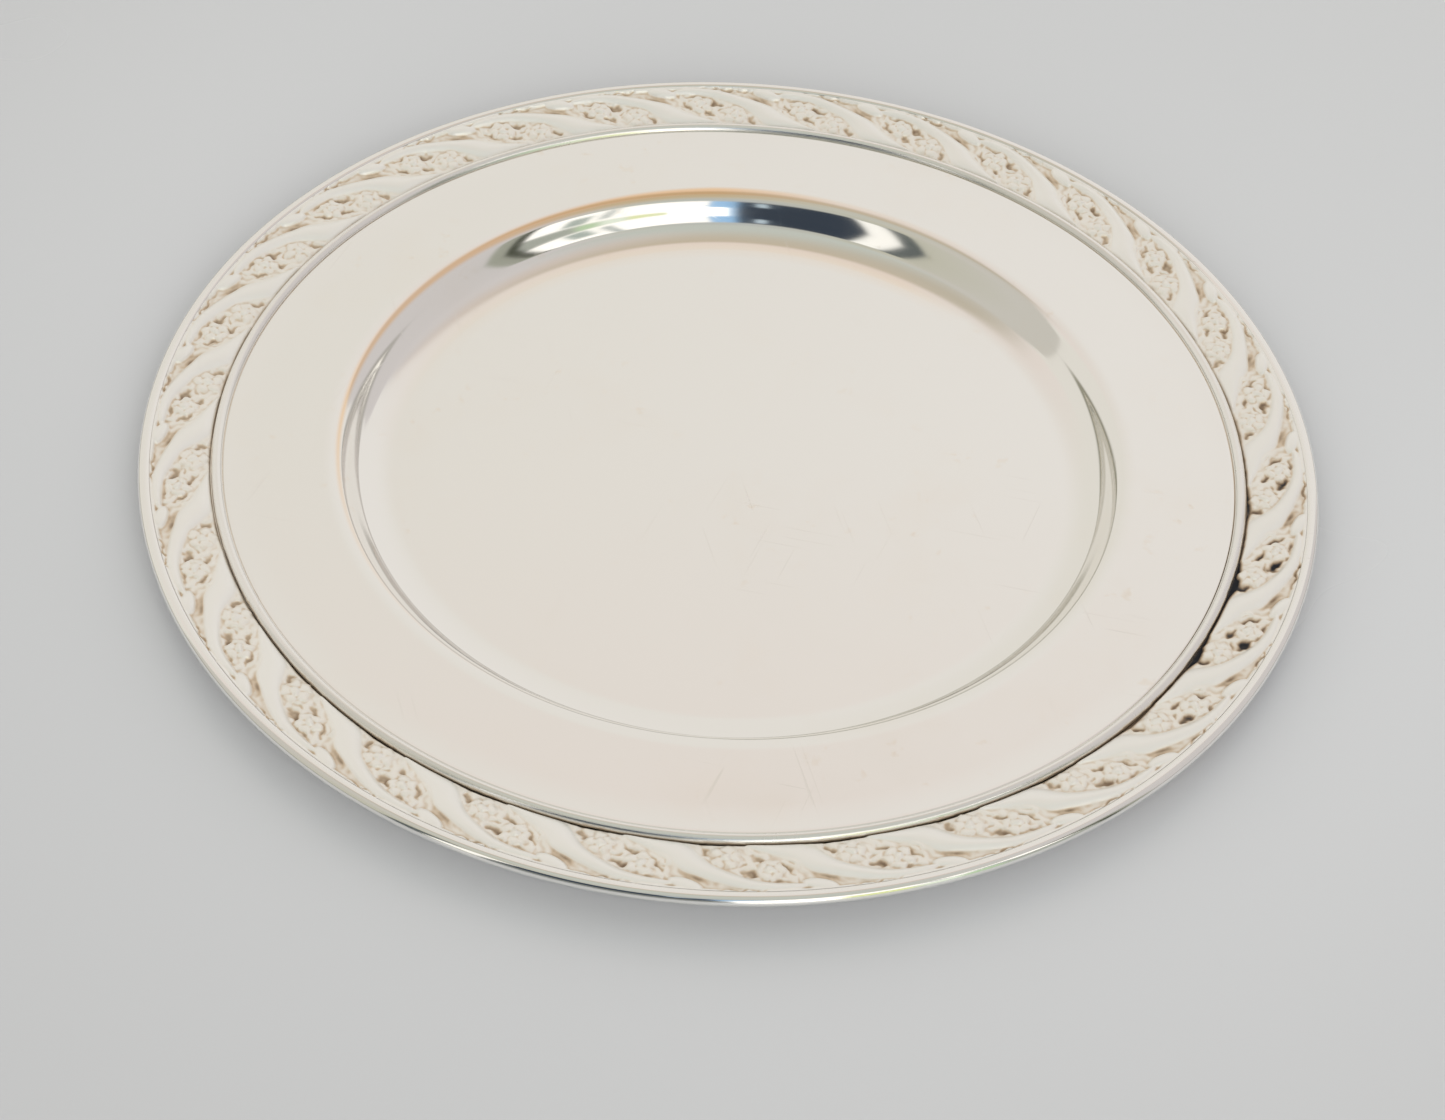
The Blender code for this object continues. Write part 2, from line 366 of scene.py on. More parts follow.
def along_ribbon(x, v):
    """(signed distance over half-width, share of the way along) of the nearest ribbon point."""
    best = np.full(x.shape, 1e9)
    across = np.zeros(x.shape)
    share = np.zeros(x.shape)
    count = len(RIBBON_LINE) - 1
    for index in range(count):
        ax, av, aw = RIBBON_LINE[index]
        bx, bv, bw = RIBBON_LINE[index + 1]
        length = math.hypot(bx - ax, bv - av)
        ux, uv = (bx - ax) / length, (bv - av) / length
        t = np.clip(((x - ax) * ux + (v - av) * uv) / length, 0.0, 1.0)
        dx = x - ax - t * (bx - ax)
        dv = v - av - t * (bv - av)
        distance = np.hypot(dx, dv)
        closer = distance < best
        side = np.sign(ux * dv - uv * dx)
        width = aw + t * (bw - aw)
        best = np.where(closer, distance, best)
        across = np.where(closer, side * distance / width, across)
        share = np.where(closer, (index + t) / count, share)
    return across, share


def turned_into(x, v, at, tilt):
    """Coordinates about a point, along and across a direction tilted in degrees."""
    angle = math.radians(tilt)
    dx, dv = x - at[0], v - at[1]
    return (dx * math.cos(angle) + dv * math.sin(angle),
            -dx * math.sin(angle) + dv * math.cos(angle))


def oval(x, v, at, reach, tilt):
    """0 at the middle of a tilted oval and 1 on its edge."""
    along, across = turned_into(x, v, at, tilt)
    return np.hypot(along / reach[0], across / reach[1])


def blossom(x, v, at, reach, height, petals, turn):
    """Dome of petals with grooves between them round a raised ball."""
    dx, dv = x - at[0], v - at[1]
    distance = np.hypot(dx, dv)
    bearing = np.arctan2(dv, dx) + turn
    lobe = np.abs(np.cos(petals * bearing / 2.0))
    edge = reach * (0.78 + 0.22 * np.sqrt(lobe))
    share = np.clip(distance / edge, 0.0, 1.0)
    dome = np.sqrt(np.maximum(0.0, 1.0 - share ** 3))
    cup = 0.30 * np.exp(-((distance / reach - 0.42) / 0.13) ** 2)
    gap = distance * np.abs(np.sin((np.arccos(np.clip(lobe, 0, 1)) - math.pi / 2) / petals * 2))
    groove = 0.42 * np.exp(-(gap / 0.22) ** 2) * smooth_step(0.25, 0.5, distance / reach)
    vein = 0.10 * np.cos(petals * 5.0 * bearing) * smooth_step(0.45, 0.7, share)
    ball = 0.35 * np.sqrt(np.maximum(0.0, 1.0 - (distance / (0.30 * reach)) ** 2))
    shape = height * (dome * (1.0 - cup - groove * 0.8 + vein)) + ball
    return np.where(distance < edge, shape, -1.0)


def repeat_relief(x, v, wobble, darkness, dark_edge):
    """Thickness of the cast strip over one repeat, and its tarnish and painted shade, from 0 to
    1.

    The last two arguments, from 0 to 1, set how dark this repeat's pits and the crevice
    along its inner edge are painted, from tan patina to the near black of painted shade;
    the last one also deepens the inner edge's scallops.
    """
    grow = 1.0 + 0.05 * wobble[0]
    across, share = along_ribbon(x, v)
    level = np.full(x.shape, BASE)
    level += 0.06 * np.sin(1.9 * x + 0.8 * v + wobble[1]) * np.sin(1.3 * v - 0.7 * x)
    stain_and_shade = np.full(x.shape, 0.08)

    # the carving wanders, so that no two repeats are quite alike
    cx = x + 0.30 * np.sin(2.1 * v + 0.9 * x + 3.0 * wobble[0])
    cx += 0.08 * np.sin(4.7 * x - 2.6 * v + 5.0 * wobble[1])
    cv = v + 0.22 * np.sin(1.7 * x - 1.1 * v + 3.0 * wobble[2])
    cv += 0.07 * np.sin(5.1 * v + 3.3 * x + 4.0 * wobble[3])

    # fine strokes that run up and outward over the ground between the ribbons
    run, over = turned_into(cx, cv, (0.0, 0.0), STROKE_TILT)
    strokes = np.sin(3.4 * over + 0.8 * np.sin(0.9 * run)) ** 3
    strokes *= smooth_step(0.4, 1.2, v) * smooth_step(11.6, 10.2, v)
    level += 0.07 * strokes
    strokes_stain = 0.12 * np.maximum(0.0, -strokes)
    stain_and_shade += strokes_stain

    # leaf-like slope that rises towards the ribbon's root from the blossoms
    leaf = smooth_step(-12.5, -5.0, x) * (1.0 - smooth_step(4.5, 7.2, v - 0.35 * (x + 7.0)))
    level += 0.35 * leaf * (across > 0) * smooth_step(3.0, 1.0, np.abs(across))

    # the blossoms and the bud
    flowers = np.maximum(
        blossom(cx, cv, LARGE_BLOSSOM["at"], LARGE_BLOSSOM["reach"] * grow,
                LARGE_BLOSSOM["height"], LARGE_BLOSSOM["petals"],
                LARGE_BLOSSOM["turn"] + 0.5 * wobble[2]),
        blossom(cx, cv, SMALL_BLOSSOM["at"], SMALL_BLOSSOM["reach"] / grow,
                SMALL_BLOSSOM["height"], SMALL_BLOSSOM["petals"],
                SMALL_BLOSSOM["turn"] + 0.5 * wobble[3]))
    bud_share = oval(x, v, BUD["at"], BUD["reach"], BUD["tilt"])
    bud = BUD["height"] * np.sqrt(np.maximum(0.0, 1.0 - bud_share ** 2.5))

    # strokes of the graver between the blossoms and the ribbon's root
    for at in HATCH:
        along, over = turned_into(cx, cv, at, HATCH_TILT)
        stroke = np.exp(-(over / 0.22) ** 2) * np.exp(-(along / 1.1) ** 4)
        level -= 0.30 * stroke
        stain_and_shade += 0.22 * stroke

    # wedge-shaped trough between the ribbon, the bud and the plain band; its deep part is
    # darkened with tan patina and painted shade
    wedge = smooth_step(0.28, 0.36, share) * (1.0 - smooth_step(0.62, 0.74, share))
    wedge *= smooth_step(0.7, 1.0, across)
    deep = np.exp(-oval(x, v, TROUGH["at"], TROUGH["reach"], TROUGH["tilt"]) ** 2)
    level -= wedge * (0.16 + 0.30 * deep)
    stain_and_shade += wedge * (0.03 + (0.34 + 0.14 * darkness) * deep)

    # the plain band that the ribbon's tip and the bud run into
    band = smooth_step(11.7, 12.1, v)
    level = level * (1.0 - band) + BAND_LEVEL * band
    stain_and_shade = stain_and_shade * (1.0 - band)

    # pits left open between the parts, and the scalloped inner edge, darkened with tan patina
    # and with painted shade, near black where they are painted darkest
    pit = np.zeros(x.shape)
    pit_shade = 0.36 + 0.62 * darkness
    ripple = 0.16 * np.sin(3.1 * x + 2.0 * wobble[1]) + 0.12 * np.sin(4.3 * v + x)
    for number, (at, reach, tilt, depth) in enumerate(PITS):
        size = 1.0 + 0.14 * wobble[number % 4] + ripple
        inside = 1.0 - smooth_step(0.30, 1.35, oval(cx, cv, at, reach, tilt) / size)
        pit = np.maximum(pit, inside * depth)
    scallop = 0.18 + 0.82 * dark_edge
    edge = 0.85 * np.exp(-((x - 3.2) / 4.6) ** 2)
    edge += 0.45 * np.exp(-((x - 1.2) / 1.8) ** 2)
    edge = 0.02 + scallop * edge
    pit = np.maximum(pit, 1.0 - smooth_step(edge - 0.1, edge + 0.15, v))
    level = level * (1.0 - pit) + 0.04 * pit
    stain_and_shade = np.maximum(stain_and_shade, pit * pit_shade)
    at_edge = 1.0 - smooth_step(edge + 0.05, edge + 0.5, v)
    stain_and_shade = np.maximum(stain_and_shade, at_edge * (0.22 + 0.78 * dark_edge))

    # what lies on top, each part clean of the stain and painted shade under it
    flower_top = BASE * 0.9 + flowers * 0.8
    petal_stain = 0.04 + 0.20 * smooth_step(0.55, 0.25, flowers) + strokes_stain
    stain_and_shade = np.where((flowers > 0) & (flower_top > level), petal_stain, stain_and_shade)
    level = np.maximum(level, np.where(flowers > 0, flower_top, 0.0))
    stain_and_shade = np.where((bud_share < 1.0) & (BASE + bud > level), 0.0, stain_and_shade)
    level = np.maximum(level, np.where(bud_share < 1.0, BASE + bud, 0.0))
    crest = RIBBON_CREST - 0.25 * smooth_step(0.30, 0.0, share)
    crest = crest - 0.30 * smooth_step(0.88, 1.0, share)
    foot = BASE * 0.8
    body = np.maximum(0.0, 1.0 - np.abs(across) ** 2.1) ** 0.75
    ribbon = np.where(np.abs(across) < 1.0, foot + (crest - foot) * body, 0.0)
    ribbon = ribbon * smooth_step(0.0, 0.3, v)
    stain_and_shade = np.where(ribbon > level, 0.0, stain_and_shade)
    return np.maximum(level, ribbon), stain_and_shade


def blurred(values, sigma):
    """Gaussian blur by sigma grid steps along both axes, with the ends held."""
    reach = max(1, math.ceil(3.0 * sigma))
    steps = np.arange(-reach, reach + 1)
    weights = np.exp(-0.5 * (steps / sigma) ** 2)
    weights /= weights.sum()
    for axis in (0, 1):
        pad = [(0, 0), (0, 0)]
        pad[axis] = (reach, reach)
        padded = np.pad(values, pad, mode="edge")
        size = values.shape[axis]
        values = sum(weight * padded.take(range(k, k + size), axis=axis)
                     for k, weight in enumerate(weights))
    return values


def border_grid(start, end, wobbles):
    """Angles, radii, thickness, and tarnish with painted shade, over one section of the border.
    """
    span = end - start
    steps = round(span * PITCH_RADIUS / GRID_STEP)
    rows = round((BORDER_OUTER_RADIUS - BORDER_INNER_RADIUS) / GRID_STEP)
    margin = 16          # grid steps past each end, so that the blur has no edge there
    angles = start + span * np.arange(-margin, steps + margin + 1) / steps
    radii = np.linspace(BORDER_INNER_RADIUS, BORDER_OUTER_RADIUS, rows + 1)
    thickness = np.zeros((len(angles), len(radii)))
    stain_and_shade = np.zeros(thickness.shape)
    out = (radii - BORDER_INNER_RADIUS) / MM
    first = math.floor((angles[0] - RIBBON_PHASE) / REPEAT_ANGLE) - 1
    last = math.ceil((angles[-1] - RIBBON_PHASE) / REPEAT_ANGLE) + 1
    for repeat in range(first, last + 1):
        along = (angles - RIBBON_PHASE - repeat * REPEAT_ANGLE) * PITCH_RADIUS / MM
        near = np.nonzero((along > RIBBON_REACH[0]) & (along < RIBBON_REACH[1]))[0]
        if len(near) == 0:
            continue
        x, v = np.meshgrid(along[near], out, indexing="ij")
        middle = RIBBON_PHASE + repeat * REPEAT_ANGLE
        height, colour = repeat_relief(x, v, wobbles[repeat % REPEATS],
                                       darkening(middle, PIT_REACH),
                                       darkening(middle, CREVICE_REACH))
        # a repeat sets its own cell, and beyond it only its ribbon and bud count
        across, _ = along_ribbon(x, v)
        in_bud = oval(x, v, BUD["at"], BUD["reach"], BUD["tilt"]) < 1.0
        own = (x > CELL_START) & (x <= CELL_START + PITCH)
        counts = own | (np.abs(across) < 1.0) | in_bud
        higher = counts & (height > thickness[near])
        thickness[near] = np.where(higher, height, thickness[near])
        stain_and_shade[near] = np.where(higher, colour, stain_and_shade[near])
    grid = GRID_STEP / MM
    thickness = blurred(thickness, 0.15 / grid)
    # hollows darken with their depth under the blurred surface: partly patina, partly painted
    # shade
    cavity = blurred(thickness, 0.60 / grid) - thickness
    groove = blurred(thickness, 0.30 / grid) - thickness
    tarnish_and_shade = (blurred(stain_and_shade, 0.34 / grid) + 0.20 * np.clip(cavity / 0.35, 0.0, 1.0)
               + 0.09 * np.clip(groove / 0.10, 0.0, 1.0))
    inside = slice(margin, margin + steps + 1)
    return angles[inside], radii, thickness[inside], np.clip(tarnish_and_shade[inside], 0.0, 1.0)


def cast_strip(index, material, wobbles):
    """One cast section: a relief surface with walls and a flat underside."""
    span = REPEAT_ANGLE * REPEATS_PER_SECTION
    start = RIBBON_PHASE + index * span - span / 2.0
    angles, radii, thickness, tarnish_and_shade = border_grid(start, start + span, wobbles)
    slope = (SEAT_OUTER_LEVEL - SEAT_LEVEL) / (BODY_RADIUS - SEAT_FLAT_TO)
    seat = SEAT_LEVEL + np.maximum(0.0, radii - SEAT_FLAT_TO) * slope + 0.05 * MM
    heights = seat[None, :] + np.maximum(thickness, 0.02) * MM
    columns, rows = thickness.shape
    cosines, sines = np.cos(angles)[:, None], np.sin(angles)[:, None]
    top = np.stack([radii * cosines, radii * sines, heights], axis=-1).reshape(-1, 3)
    number = np.arange(columns * rows).reshape(columns, rows)
    quads = np.stack([number[:-1, :-1], number[:-1, 1:], number[1:, 1:], number[1:, :-1]],
                     axis=-1).reshape(-1, 4)[:, ::-1]
    faces = quads.tolist()

    # walls down to the underside, round the strip's whole edge
    ring = np.concatenate([number[:, 0], number[-1, 1:], number[-2::-1, -1],
                           number[0, -2:0:-1]])
    under = top[ring].copy()
    under[:, 2] = np.tile(seat, (columns, 1)).reshape(-1)[ring]
    below = np.arange(len(ring)) + len(top)
    for here in range(len(ring)):
        there = (here + 1) % len(ring)
        faces.append([int(ring[here]), int(below[here]), int(below[there]), int(ring[there])])

    # the underside, as a row of quads between two end faces
    inner = below[:columns]
    outer_from = columns + rows - 1
    outer = below[outer_from - 1:outer_from - 1 + columns][::-1]
    far_end = below[columns - 1:columns + rows - 1]
    near_end = np.concatenate([below[outer_from + columns - 2:], below[:1]])
    faces.append([int(inner[-2])] + [int(n) for n in outer[-2:-1]]
                 + [int(n) for n in far_end[::-1]])
    faces.append([int(outer[1]), int(inner[1])] + [int(n) for n in near_end[::-1]])
    for here in range(1, columns - 2):
        faces.append([int(inner[here]), int(outer[here]), int(outer[here + 1]),
                      int(inner[here + 1])])
    vertices = np.vstack([top, under]).tolist()
    inner_shade = 0.25 + 0.73 * darkening(np.arctan2(under[:, 1], under[:, 0]), CREVICE_REACH)
    outside = np.hypot(under[:, 0], under[:, 1]) > PITCH_RADIUS
    foot_shade = np.where(outside, 0.20, inner_shade)
    shade = np.concatenate([tarnish_and_shade.reshape(-1), foot_shade])
    return new_piece(f"cast_strip_{index + 1}", vertices, faces, material, {"tarnish_and_shade": shade})


# ------------------------------------------------------------------ node shorthand
class Nodes:
    """Short names for the nodes that the materials and the room are made of."""

    def __init__(self, tree):
        self.tree = tree

    def add(self, kind, **settings):
        """A new node with some of its settings."""
        node = self.tree.nodes.new(kind)
        for key, value in settings.items():
            setattr(node, key, value)
        return node

    def feed(self, socket, value):
        """Link an output to a socket, or set the socket to a constant."""
        if isinstance(value, bpy.types.NodeSocket):
            self.tree.links.new(value, socket)
        else:
            socket.default_value = value

    def math(self, operation, first, second=0.0, clamp=False):
        """Result of one math operation."""
        node = self.add("ShaderNodeMath", operation=operation, use_clamp=clamp)
        self.feed(node.inputs[0], first)
        self.feed(node.inputs[1], second)
        return node.outputs[0]

    def fade(self, value, low, high):
        """0 below low, 1 above high, and smooth between them."""
        node = self.add("ShaderNodeMapRange", interpolation_type="SMOOTHSTEP")
        self.feed(node.inputs["Value"], value)
        node.inputs["From Min"].default_value = low
        node.inputs["From Max"].default_value = high
        return node.outputs["Result"]

    def band(self, value, low, high, soft):
        """1 between low and high, with soft edges."""
        rise = self.fade(value, low - soft, low + soft)
        fall = self.fade(value, high - soft, high + soft)
        return self.math("SUBTRACT", rise, fall, clamp=True)

    def mix(self, share, first, second):
        """Colour between the first, at share 0, and the second, at share 1."""
        node = self.add("ShaderNodeMix", data_type="RGBA")
        self.feed(node.inputs["Factor"], share)
        self.feed(node.inputs[6], first)
        self.feed(node.inputs[7], second)
        return node.outputs[2]

    def stretched(self, vector, turn, factors):
        """Turn about Z first, then scale."""
        turned_first = self.add("ShaderNodeMapping")
        self.feed(turned_first.inputs["Vector"], vector)
        turned_first.inputs["Rotation"].default_value = (0.0, 0.0, turn)
        node = self.add("ShaderNodeMapping")
        self.feed(node.inputs["Vector"], turned_first.outputs["Vector"])
        node.inputs["Scale"].default_value = factors
        return node.outputs["Vector"]

    def noise(self, vector, scale, detail=2.0, roughness=0.5):
        """Smooth noise from 0 to 1 over a vector."""
        node = self.add("ShaderNodeTexNoise")
        self.feed(node.inputs["Vector"], vector)
        node.inputs["Scale"].default_value = scale
        node.inputs["Detail"].default_value = detail
        node.inputs["Roughness"].default_value = roughness
        return node.outputs["Fac"]

    def ramp(self, value, stops):
        """Colour that follows a value through stops of (value, colour)."""
        node = self.add("ShaderNodeValToRGB")
        self.feed(node.inputs["Fac"], value)
        elements = node.color_ramp.elements
        elements[0].position, elements[0].color = stops[0][0], (*stops[0][1], 1.0)
        elements[1].position, elements[1].color = stops[-1][0], (*stops[-1][1], 1.0)
        for place, colour in stops[1:-1]:
            elements.new(place).color = (*colour, 1.0)
        return node.outputs["Color"]


# ---------------------------------------------------------------------- materials
# tan and brown are tarnish; the near-black end is painted shade in pits and crevices
TARNISH_AND_SHADE_STOPS = (
    (0.00, (0.93, 0.915, 0.885)),
    (0.14, (0.925, 0.885, 0.825)),
    (0.34, (0.74, 0.61, 0.47)),
    (0.60, (0.30, 0.215, 0.145)),
    (0.82, (0.045, 0.040, 0.040)),
    (1.00, (0.012, 0.014, 0.020)),
)
# tint of straw tarnish, and of the painted orange reflection on the shoulder
STRAW_AND_ORANGE_REFLECTION = (0.96, 0.71, 0.475)


def silver(name, clean, smooth, scratch, bright=1.0, spots=0.0):
    """Silver plate that turns tan and brown as its tarnish grows, and near black to slate where
    painted shade is put in pits and crevices.

    clean is the least tarnish anywhere, smooth the roughness where it is clean,
    scratch the depth of its fine scratches, bright how mirror-like the bare metal is
    and spots how strongly it is flecked with small stains.
    """
    material = bpy.data.materials.new(name)
    material.use_nodes = True
    nodes = Nodes(material.node_tree)
    shader = material.node_tree.nodes["Principled BSDF"]
    place = nodes.add("ShaderNodeTexCoord").outputs["Object"]
    # this attribute holds tarnish and painted shade together
    tarnish_and_shade = nodes.add("ShaderNodeAttribute", attribute_name="tarnish_and_shade").outputs["Fac"]

    patches = nodes.noise(place, 34.0, 4.0, 0.6)
    freckles = nodes.noise(place, 900.0, 2.0)
    film = nodes.math("MULTIPLY", nodes.fade(patches, 0.50, 0.78), clean)
    stain_and_shade = nodes.math("MULTIPLY", nodes.math("SUBTRACT", freckles, 0.5), 0.22)
    aged_and_shaded = nodes.math("MULTIPLY", tarnish_and_shade, nodes.math("ADD", stain_and_shade, 1.0))
    flecks = nodes.fade(nodes.noise(place, 210.0, 3.0, 0.6), 0.62, 0.74)
    flecked = nodes.fade(nodes.noise(place, 30.0, 1.0), 0.42, 0.66)
    spotted = nodes.math("MULTIPLY", nodes.math("MULTIPLY", flecks, flecked), spots)
    amount = nodes.math("ADD", nodes.math("ADD", aged_and_shaded, film), spotted, clamp=True)
    # straw tarnish at the toe and a painted orange reflection on the far shoulder
    yellow = nodes.add("ShaderNodeAttribute", attribute_name="straw_and_reflection").outputs["Fac"]
    colour = nodes.mix(yellow, nodes.ramp(amount, TARNISH_AND_SHADE_STOPS), (*STRAW_AND_ORANGE_REFLECTION, 1.0))
    nodes.feed(shader.inputs["Base Color"], colour)
    bare = nodes.math("SUBTRACT", 1.0, nodes.fade(amount, 0.35, 0.85))
    nodes.feed(shader.inputs["Metallic"], nodes.math("MULTIPLY", bare, bright))

    # hairline scratches in three directions, and soft smudges
    lines = 0.0
    for turn, stretch in ((0.35, 1400.0), (-0.30, 1100.0), (1.75, 1700.0)):
        grain = nodes.noise(nodes.stretched(place, turn, (stretch, 26.0, 26.0)), 1.0, 1.0)
        hair = nodes.fade(grain, 0.71, 0.76)
        lines = nodes.math("MAXIMUM", lines, hair)
    where = nodes.fade(nodes.noise(place, 21.0, 2.0), 0.47, 0.62)
    lines = nodes.math("MULTIPLY", lines, where)
    smudge = nodes.fade(nodes.noise(place, 15.0, 5.0, 0.65), 0.35, 0.75)
    gloss = nodes.math("ADD", nodes.math("MULTIPLY", smudge, 0.07), smooth)
    gloss = nodes.math("ADD", gloss, nodes.math("MULTIPLY", lines, 0.15))
    gloss = nodes.math("ADD", gloss, nodes.math("MULTIPLY", amount, 0.45), clamp=True)
    nodes.feed(shader.inputs["Roughness"], gloss)

    waves = nodes.math("MULTIPLY", nodes.noise(place, 26.0, 1.0), 0.00010)
    relief = nodes.math("SUBTRACT", waves, nodes.math("MULTIPLY", lines, scratch))
    bump = nodes.add("ShaderNodeBump")
    bump.inputs["Strength"].default_value = 1.0
    bump.inputs["Distance"].default_value = 1.0
    nodes.feed(bump.inputs["Height"], relief)
    nodes.feed(shader.inputs["Normal"], bump.outputs["Normal"])
    return material


def table_top():
    """Pale, slightly mottled, softly glossy table, with painted shade darkening it towards the
    corners.
    """
    material = bpy.data.materials.new("pale_table")
    material.use_nodes = True
    nodes = Nodes(material.node_tree)
    shader = material.node_tree.nodes["Principled BSDF"]
    place = nodes.add("ShaderNodeTexCoord").outputs["Object"]
    cloud = nodes.noise(place, 5.0, 3.0, 0.5)
    pale = nodes.mix(cloud, (0.646, 0.660, 0.692, 1.0), (0.664, 0.678, 0.710, 1.0))
    # painted shade: the colour darkens away from a point behind the plate, a painted fall-off
    # of light towards the corners
    away = nodes.add("ShaderNodeVectorMath", operation="DISTANCE")
    nodes.feed(away.inputs[0], place)
    away.inputs[1].default_value = (0.05, 0.13, 0.0)
    painted_falloff = nodes.fade(away.outputs["Value"], 0.15, 0.40)
    nodes.feed(shader.inputs["Base Color"], nodes.mix(painted_falloff, pale, (0.528, 0.540, 0.566, 1.0)))
    marks = nodes.noise(place, 12.0, 2.0, 0.5)
    nodes.feed(shader.inputs["Roughness"],
               nodes.math("ADD", nodes.math("MULTIPLY", marks, 0.05), 0.24))
    return material


# --------------------------------------------------------------- the studio's room
# Bearings are degrees from -Y towards +X, and elevations degrees above the table.
DARK_PARTS = (        # bearings, elevations, soft edge, colour
    ((-180.0, 0.0), (-20.0, 5.0), 1.0, (0.27, 0.26, 0.20)),
    ((0.0, 180.0), (-20.0, 5.0), 1.0, (0.42, 0.40, 0.37)),
    ((-53.0, -45.6), (-20.0, 49.0), 1.0, (0.10, 0.115, 0.115)),
    ((-35.5, 3.0), (-20.0, 48.0), 1.2, (0.040, 0.052, 0.072)),
    ((2.5, 11.0), (-20.0, 48.0), 1.0, (0.34, 0.57, 0.85)),
    ((65.0, 70.5), (-20.0, 48.0), 1.2, (0.060, 0.065, 0.045)),
    ((70.0, 76.0), (-20.0, 48.0), 1.2, (0.35, 0.36, 0.30)),
)
WINDOWS = (
    ((-45.6, -36.0), (6.0, 48.0), 0.8, (1.10, 1.08, 1.02)),
    ((11.0, 65.0), (26.0, 48.0), 0.8, (1.25, 1.22, 1.16)),
    ((5.0, 22.0), (-10.0, 34.0), 0.8, (2.0, 1.97, 1.87)),
    ((39.7, 43.0), (30.0, 48.0), 0.8, (0.42, 0.46, 0.44)),
    ((46.5, 54.0), (28.0, 40.0), 1.0, (0.38, 0.44, 0.40)),
    ((22.0, 34.0), (-10.0, 26.0), 1.5, (0.80, 0.86, 0.42)),
    ((34.0, 42.0), (-10.0, 26.0), 1.5, (0.82, 0.90, 0.76)),
    ((42.0, 49.0), (-10.0, 26.0), 1.5, (0.50, 0.66, 0.42)),
    ((49.0, 65.0), (-10.0, 26.0), 1.5, (0.40, 0.42, 0.37)),
    ((-36.0, 5.0), (-20.0, 22.0), 1.5, (0.20, 0.21, 0.20)),
    ((-7.0, -3.5), (38.0, 46.0), 0.5, (0.60, 0.72, 0.80)),
)
# Far side of the room: bearings from +Y towards +X, and the bright wall's top edge there.
BRIGHT_TOP = ((-180.0, -20.0), (-83.0, -20.0), (-80.5, 11.0), (-78.0, 25.0),
              (-71.5, 43.0), (-57.5, 53.0), (-39.0, 57.0), (-24.0, 56.0),
              (-8.0, 53.5), (0.0, 53.0), (10.0, 52.0),
              (19.0, 50.0), (30.0, 44.0), (41.0, 28.0), (49.0, 6.0), (55.0, -20.0),
              (180.0, -20.0))
BRIGHT_LEFT = (0.775, 0.75, 0.695)
BRIGHT_RIGHT = (0.825, 0.80, 0.768)
BRIGHT_HIGH = (0.795, 0.73, 0.685)
UPPER_WALLS = ((-180.0, (0.50, 0.52, 0.50)), (-128.0, (0.54, 0.53, 0.44)),
               (-95.0, (0.59, 0.57, 0.52)), (-55.0, (0.58, 0.555, 0.50)),
               (-20.0, (0.53, 0.48, 0.39)), (2.0, (0.56, 0.50, 0.40)),
               (14.0, (0.64, 0.56, 0.50)), (30.0, (0.645, 0.61, 0.60)),
               (102.0, (0.62, 0.59, 0.58)), (135.0, (0.55, 0.56, 0.50)),
               (180.0, (0.50, 0.52, 0.50)))
CEILING = (0.55, 0.575, 0.525)


def direction(bearing, elevation):
    """Unit vector of a bearing from -Y towards +X and an elevation, in degrees."""
    a, e = math.radians(bearing), math.radians(elevation)
    return (math.sin(a) * math.cos(e), -math.cos(a) * math.cos(e), math.sin(e))


def room():
    """The room as the polished plate sees it: pale walls, windows and dark parts."""
    world = bpy.data.worlds.new("room")
    world.use_nodes = True
    bpy.context.scene.world = world
    nodes = Nodes(world.node_tree)
    background = world.node_tree.nodes["Background"]
    facing = nodes.add("ShaderNodeTexCoord").outputs["Generated"]
    split = nodes.add("ShaderNodeSeparateXYZ")
    nodes.feed(split.inputs[0], facing)
    east, north, up = split.outputs
    south = nodes.math("MULTIPLY", north, -1.0)
    degrees = 180.0 / math.pi
    bearing = nodes.math("MULTIPLY", nodes.math("ARCTAN2", east, south), degrees)
    elevation = nodes.math("MULTIPLY", nodes.math("ARCSINE", up), degrees)

    from_back = nodes.math("MULTIPLY", nodes.math("ARCTAN2", east, north), degrees)
    around = nodes.math("ADD", nodes.math("MULTIPLY", from_back, 1.0 / 360.0), 0.5)

    # side walls that change colour with the bearing, under a pale ceiling
    colour = nodes.ramp(around, [(b / 360.0 + 0.5, tint) for b, tint in UPPER_WALLS])
    colour = nodes.mix(nodes.fade(elevation, 60.0, 78.0), colour, (*CEILING, 1.0))

    # the bright wall opposite the camera, below a top edge that is a curve
    edge = nodes.ramp(around, [(b / 360.0 + 0.5, ((e + 20.0) / 100.0,) * 3)
                               for b, e in BRIGHT_TOP])
    top = nodes.math("SUBTRACT", nodes.math("MULTIPLY", edge, 100.0), 20.0)
    below = nodes.fade(nodes.math("SUBTRACT", top, elevation), -2.5, 2.5)
    wall = nodes.mix(nodes.fade(from_back, -18.0, 14.0), (*BRIGHT_LEFT, 1.0),
                     (*BRIGHT_RIGHT, 1.0))
    wall = nodes.mix(nodes.fade(elevation, 42.0, 54.0), wall, (*BRIGHT_HIGH, 1.0))
    colour = nodes.mix(below, colour, wall)
    for patches in (DARK_PARTS, WINDOWS):
        for bearings, elevations, soft, tint in patches:
            share = nodes.math("MULTIPLY", nodes.band(bearing, *bearings, soft),
                               nodes.band(elevation, *elevations, 2.0))
            colour = nodes.mix(share, colour, (*tint, 1.0))
    nodes.feed(background.inputs["Color"], colour)
    background.inputs["Strength"].default_value = 1.0


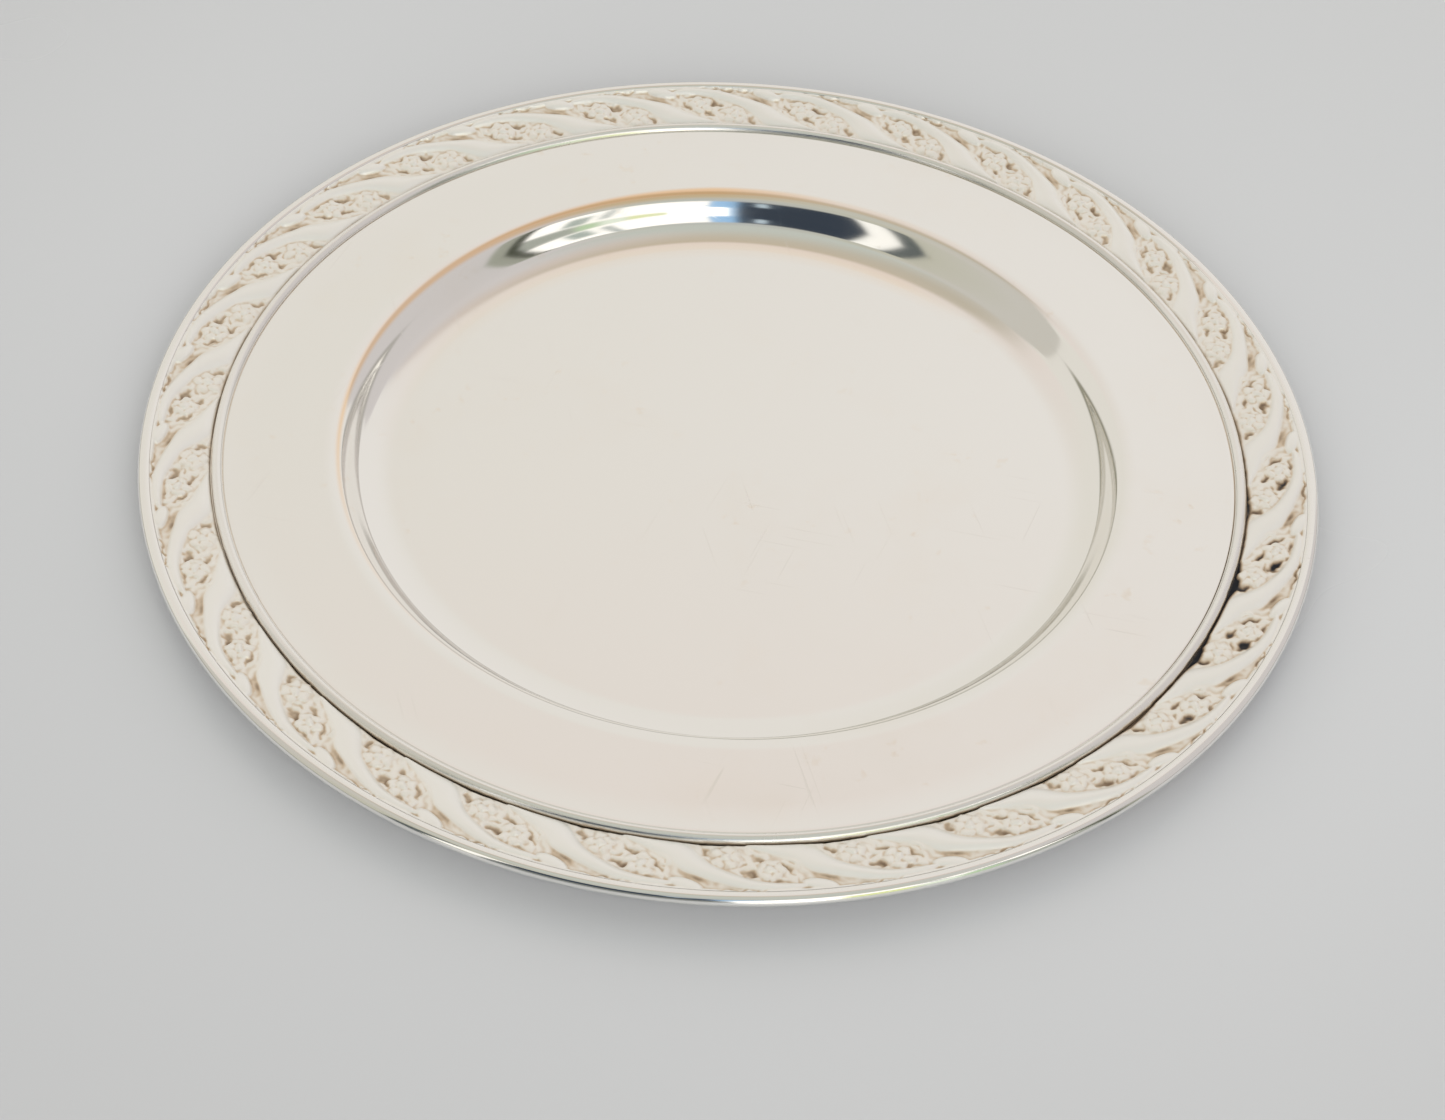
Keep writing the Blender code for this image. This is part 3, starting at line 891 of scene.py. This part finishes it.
def soft_light(name, bearing, elevation, distance, size, power, colour):
    """Square soft box aimed at the plate, hidden from mirror reflections."""
    data = bpy.data.lights.new(name, "AREA")
    data.shape = "SQUARE"
    data.size = size
    data.energy = power
    data.color = colour
    item = bpy.data.objects.new(name, data)
    place = Vector(direction(bearing, elevation)) * distance
    item.location = place
    item.rotation_euler = place.to_track_quat("Z", "Y").to_euler()
    item.visible_glossy = False
    bpy.context.scene.collection.objects.link(item)


def table():
    """Floor of the studio, far larger than any view."""
    half = 4.5
    level = -0.05 * MM
    corners = [(-half, -half, level), (half, -half, level), (half, half, level),
               (-half, half, level)]
    floor = new_piece("table", corners, [(0, 1, 2, 3)], table_top())


# ------------------------------------------------------------------------- camera
CAMERA_ELEVATION = math.radians(43.30)
CAMERA_DISTANCE = 5.122          # in outer radii, from the axis at the plate's top
AIM = (-0.00264, -0.29918)       # where the view's middle meets the plate's top, in radii
CAMERA_ROLL = math.radians(-3.364)
LENS = 74.74


def camera():
    """View from the front, about 43 degrees above the table."""
    reach = CAMERA_DISTANCE * OUTER_RADIUS
    place = Vector((0.0, -reach * math.cos(CAMERA_ELEVATION),
                    TOP + reach * math.sin(CAMERA_ELEVATION)))
    aim = Vector((AIM[0] * OUTER_RADIUS, AIM[1] * OUTER_RADIUS, TOP))
    back = (place - aim).normalized()
    level = Vector((0.0, 0.0, 1.0)).cross(back).normalized()
    upright = back.cross(level)
    up = math.cos(CAMERA_ROLL) * upright + math.sin(CAMERA_ROLL) * level
    right = up.cross(back)
    data = bpy.data.cameras.new("camera")
    data.lens = LENS
    data.sensor_width = 36.0
    data.clip_end = 50.0
    item = bpy.data.objects.new("camera", data)
    axes = Matrix((right, up, back)).transposed().to_4x4()
    item.matrix_world = Matrix.Translation(place) @ axes
    bpy.context.scene.collection.objects.link(item)
    bpy.context.scene.camera = item


# -------------------------------------------------------------------------- build
def place_piece(piece, node):
    """Every piece stands for one CAD node and moves with the plate."""
    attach(piece, "root")
    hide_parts(node)


def main():
    """Make the plate, its table, the room and the camera."""
    body_silver = silver("polished_silver", 0.05, 0.06, 0.0000028, spots=0.14)
    bead_silver = silver("satin_silver", 0.03, 0.22, 0.000003)
    wire_silver = silver("bright_silver", 0.03, 0.08, 0.000003)
    cast_silver = silver("cast_silver", 0.04, 0.40, 0.000006, bright=0.68)
    place_piece(spun_body(body_silver), "plate_body")
    place_piece(bead_wire(bead_silver), "inner_bead")
    place_piece(rolled_edge(wire_silver), "edge_wire")
    wobbles = np.random.default_rng(12).uniform(-1.0, 1.0, (REPEATS, 4))
    for index in range(SECTION_COUNT):
        strip = cast_strip(index, cast_silver, wobbles)
        place_piece(strip, f"border_section_{index + 1}")
    table()
    room()
    soft_light("key_light", 165.0, 80.0, 1.3, 1.6, 1.5, (1.0, 0.985, 0.965))
    soft_light("front_fill", 0.0, 30.0, 1.6, 1.4, 17.0, (1.0, 0.985, 0.965))
    camera()
    bpy.context.scene.view_settings.view_transform = "Standard"


main()
